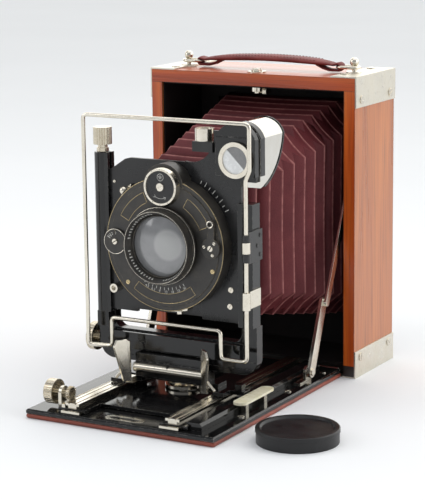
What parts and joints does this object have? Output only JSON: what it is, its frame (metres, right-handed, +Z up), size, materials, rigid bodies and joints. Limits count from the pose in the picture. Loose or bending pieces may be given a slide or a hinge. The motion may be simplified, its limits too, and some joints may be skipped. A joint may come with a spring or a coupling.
{
  "type": "folding plate camera",
  "caption": "Folding teak plate camera, open on its drop bed, with leather bellows, dial-set leaf shutter, reflex and wire finders, carrying handle and loose lens cap.",
  "frame": {"origin": "centre of the mouth of the tripod bush, on the underside of the bed, which is also the level the camera stands on", "axes": "+Z up, -Y the way the lens points, +X to the viewer's right when the lens faces the viewer"},
  "size_m": [0.1718, 0.2041, 0.1738],
  "materials": {
    "teak": "oiled",
    "bed_wood": "oiled",
    "lining": "matte",
    "nickel": "satin",
    "strap_leather": "worn",
    "back_enamel": "satin",
    "ground_glass": "frosted",
    "lacquer": "gloss",
    "ivory": "aged",
    "shutter_enamel": "worn satin",
    "brass": "worn",
    "lens_glass": "coated",
    "blade_steel": "satin",
    "hood_chrome": "polished",
    "bellows_leather": "fine grain",
    "cap_leatherette": "satin"
  },
  "bodies": {
    "case": {"case_sides": "teak", "case_ends": "teak", "case_lining": "lining", "corner_plates": "nickel", "case_screws": "nickel", "top_fittings": "nickel", "back_frame": "lining", "bed_board": "bed_wood", "bed_plate": "lacquer", "bed_hinge": "nickel", "bed_trim": "nickel", "tripod_bush": "nickel", "track_guides": "lacquer", "bed_brackets": "nickel", "scale_plate": "ivory", "strut_left": "nickel", "strut_right": "nickel", "bellows": "bellows_leather"},
    "button": {"door_button": "nickel"},
    "handle": {"handle_rings": "nickel", "handle_strap": "strap_leather"},
    "glass_back": {"glass_back": "back_enamel", "ground_glass": "ground_glass"},
    "back_lid": {"back_lid": "back_enamel"},
    "lock_ring": {"lock_ring": "nickel"},
    "focus_track": {"track_plate": "lacquer", "track_rails": "nickel", "focus_rack": "nickel"},
    "focus_knob": {"focus_knob": "nickel"},
    "carriage": {"carriage_base": "lacquer", "carriage_bar": "nickel"},
    "grip_left": {"grip_left": "nickel"},
    "grip_right": {"grip_right": "nickel"},
    "u_frame": {"u_frame": "lacquer", "left_pillar": "lacquer", "right_upright": "lacquer", "frame_hinge": "lacquer", "frame_clip": "nickel"},
    "rise_knob": {"rise_knob": "nickel"},
    "cross_knob": {"cross_knob": "nickel"},
    "wire_frame": {"wire_frame": "nickel"},
    "lens_board": {"lens_board": "lacquer", "board_screws": "nickel", "shutter": "shutter_enamel", "shutter_trim": "brass", "lens_barrel": "shutter_enamel", "lens_glass": "lens_glass", "shutter_blades": "blade_steel", "spirit_level": "nickel"},
    "speed_dial": {"speed_dial": "nickel"},
    "mode_dial": {"mode_dial": "shutter_enamel"},
    "aperture_lever": {"aperture_lever": "nickel"},
    "cocking_lever": {"cocking_lever": "shutter_enamel"},
    "release_lever": {"release_lever": "nickel"},
    "finder": {"finder_front": "lacquer", "finder_ring": "nickel", "finder_hood": "hood_chrome", "finder_glass": "lens_glass"},
    "lens_cap": {"lens_cap": "cap_leatherette"}
  },
  "joints": [
    {"name": "button_press", "type": "slide", "parent": "case", "child": "button", "axis": [0, 0, -1], "range_m": [0, 0.0012], "stiffness_N_per_m": 900, "springref_m": -0.0008},
    {"name": "handle_swing", "type": "hinge", "parent": "case", "child": "handle", "pos_m": [0, 0.099, 0.1683], "axis": [1, 0, 0], "range_deg": [-18, 18]},
    {"name": "back_lift", "type": "slide", "parent": "case", "child": "glass_back", "axis": [0, 0, 1], "range_m": [0, 0.135]},
    {"name": "back_lid_turn", "type": "hinge", "parent": "glass_back", "child": "back_lid", "pos_m": [0, 0.1353, 0.1516], "axis": [1, 0, 0], "range_deg": [0, 105]},
    {"name": "lock_turn", "type": "hinge", "parent": "case", "child": "lock_ring", "pos_m": [0, 0, 0.008], "axis": [0, 0, 1], "range_deg": [-20, 20]},
    {"name": "focus_slide", "type": "slide", "parent": "case", "child": "focus_track", "axis": [0, -1, 0], "range_m": [0, 0.03], "deforming": ["bellows"]},
    {"name": "focus_knob_turn", "type": "hinge", "parent": "case", "child": "focus_knob", "pos_m": [-0.044, -0.056, 0.0129], "axis": [-1, 0, 0], "range_deg": [0, 491.11]},
    {"name": "standard_slide", "type": "slide", "parent": "focus_track", "child": "carriage", "axis": [0, 1, 0], "range_m": [0, 0.04], "deforming": ["bellows"]},
    {"name": "grip_left_squeeze", "type": "slide", "parent": "carriage", "child": "grip_left", "axis": [1, 0, 0], "range_m": [0, 0.0012], "stiffness_N_per_m": 600, "springref_m": -0.001},
    {"name": "grip_right_squeeze", "type": "slide", "parent": "carriage", "child": "grip_right", "axis": [-1, 0, 0], "range_m": [0, 0.0012], "stiffness_N_per_m": 600, "springref_m": -0.001},
    {"name": "cross_shift", "type": "slide", "parent": "carriage", "child": "u_frame", "axis": [1, 0, 0], "range_m": [-0.005, 0.005], "deforming": ["bellows"]},
    {"name": "cross_knob_turn", "type": "hinge", "parent": "u_frame", "child": "cross_knob", "pos_m": [-0.048, -0.005, 0.03], "axis": [1, 0, 0], "range_deg": [-900, 900]},
    {"name": "rise_shift", "type": "slide", "parent": "u_frame", "child": "lens_board", "axis": [0, 0, 1], "range_m": [-0.005, 0.01], "deforming": ["bellows"]},
    {"name": "rise_knob_turn", "type": "hinge", "parent": "u_frame", "child": "rise_knob", "pos_m": [-0.0425, -0.0085, 0.138], "axis": [0, 0, 1], "range_deg": [-1200, 2400]},
    {"name": "frame_swing", "type": "hinge", "parent": "u_frame", "child": "wire_frame", "pos_m": [0.048, -0.0194, 0.09], "axis": [0, 0, 1], "range_deg": [0, 165]},
    {"name": "finder_tilt", "type": "hinge", "parent": "lens_board", "child": "finder", "pos_m": [0.0398, -0.01, 0.1325], "axis": [0, 1, 0], "range_deg": [0, 90]},
    {"name": "speed_dial_turn", "type": "hinge", "parent": "lens_board", "child": "speed_dial", "pos_m": [0, -0.021, 0.1171], "axis": [0, 1, 0], "range_deg": [0, 290]},
    {"name": "mode_dial_turn", "type": "hinge", "parent": "lens_board", "child": "mode_dial", "pos_m": [-0.0287, -0.019, 0.0863], "axis": [0, 1, 0], "range_deg": [-30, 30]},
    {"name": "aperture_turn", "type": "hinge", "parent": "lens_board", "child": "aperture_lever", "pos_m": [0, -0.0126, 0.0866], "axis": [0, 1, 0], "range_deg": [-35, 25]},
    {"name": "cocking_turn", "type": "hinge", "parent": "lens_board", "child": "cocking_lever", "pos_m": [0.0281, -0.019, 0.0875], "axis": [0, 1, 0], "range_deg": [-25, 0], "stiffness_Nm_per_rad": 0.002, "springref_deg": 17.19},
    {"name": "release_turn", "type": "hinge", "parent": "lens_board", "child": "release_lever", "pos_m": [0, -0.0115, 0.0866], "axis": [0, 1, 0], "range_deg": [0, 7], "stiffness_Nm_per_rad": 0.01, "springref_deg": -5.73},
    {"name": "cap_lift", "type": "slide", "parent": "case", "child": "lens_cap", "axis": [0, 0, 1], "range_m": [0, 0.06]}
  ],
  "couplings": [
    {"joint": "focus_knob_turn", "follows": "focus_slide", "rad_per_m": 285.71},
    {"joint": "cross_knob_turn", "follows": "cross_shift", "rad_per_m": 3141.6},
    {"joint": "rise_knob_turn", "follows": "rise_shift", "rad_per_m": 4188.8}
  ]
}
